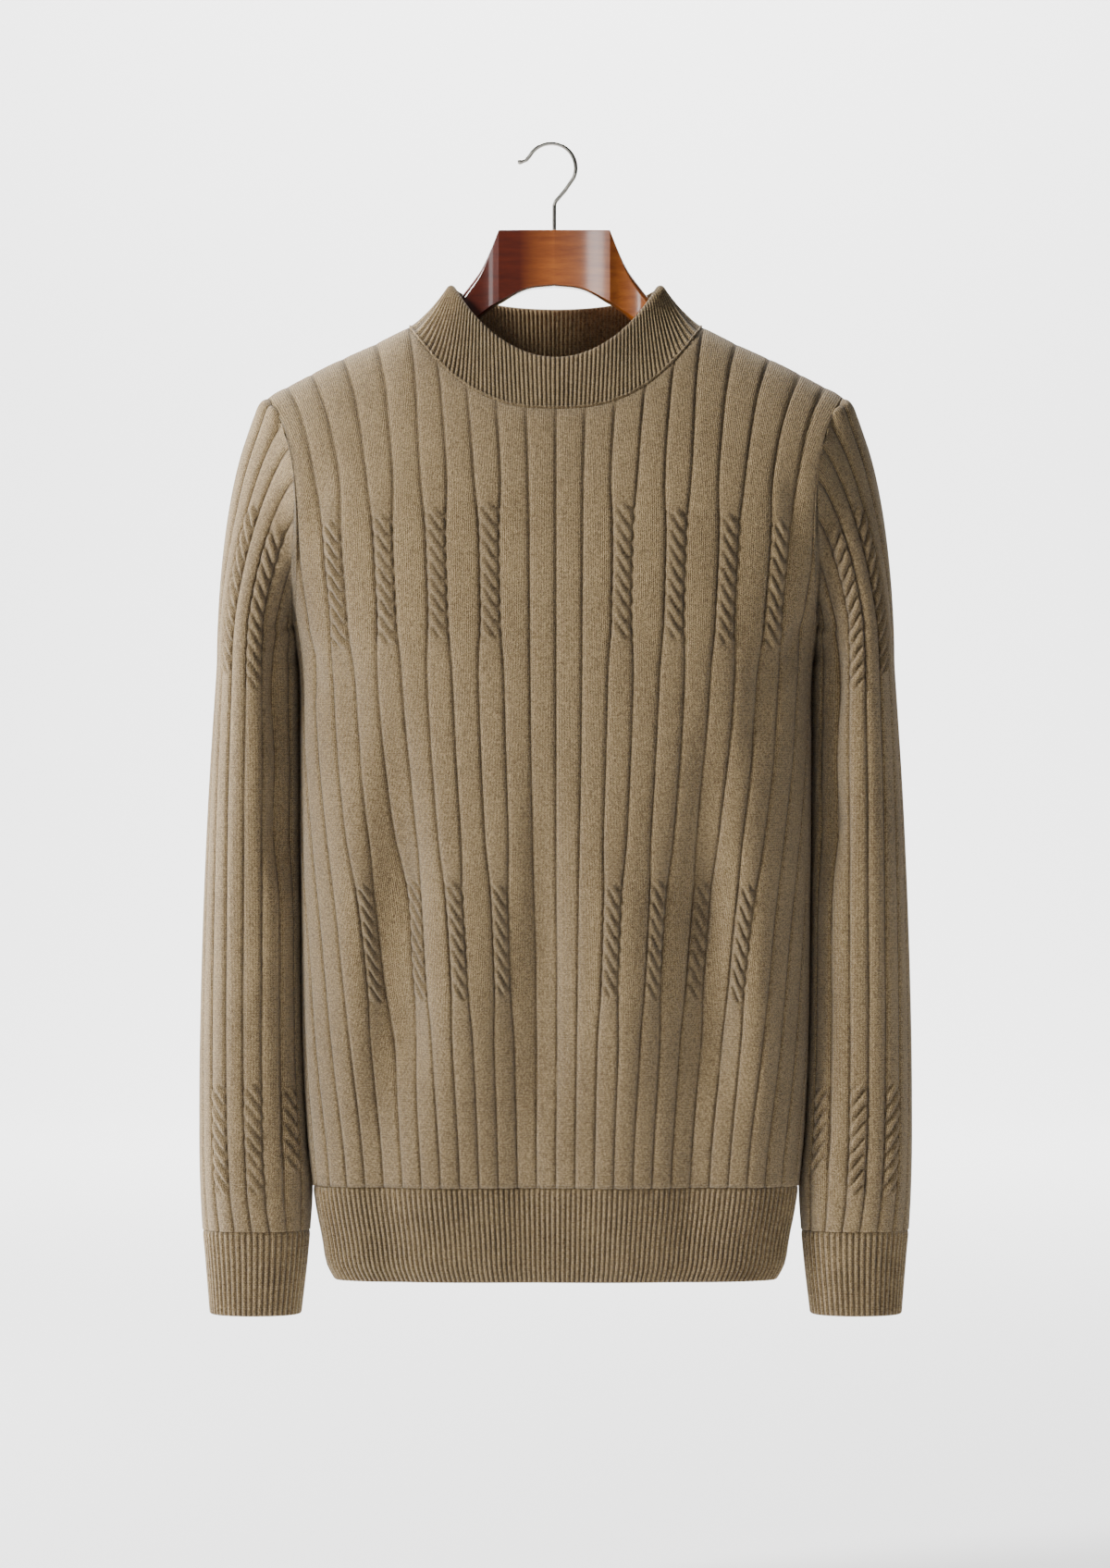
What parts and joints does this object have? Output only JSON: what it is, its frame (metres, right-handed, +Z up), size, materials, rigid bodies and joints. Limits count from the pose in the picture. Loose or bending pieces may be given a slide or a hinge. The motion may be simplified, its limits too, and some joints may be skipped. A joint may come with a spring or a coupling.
{
  "type": "mock neck sweater on a wooden hanger",
  "caption": "Long-sleeved mock neck sweater in wide ribs with rope cables, hung on a lacquered wooden hanger with a bent wire hook.",
  "frame": {"origin": "inside top of the hook's bend, where it hangs on a rail", "axes": "+Z up, -Y out of the sweater's front, +X to the right as seen from the front"},
  "size_m": [0.5134, 0.157, 0.8446],
  "materials": {
    "knit": "matt, soft wool knit in khaki taupe",
    "wood": "high-gloss clear lacquer over red-brown wood",
    "wire": "polished bright wire"
  },
  "bodies": {
    "root": {"front": "knit", "back": "knit", "sleeve_left": "knit", "sleeve_right": "knit", "collar": "knit", "hem_rib": "knit", "cuff_left": "knit", "cuff_right": "knit", "hanger_left": "wood", "hanger_right": "wood", "hook": "wire"}
  },
  "joints": []
}
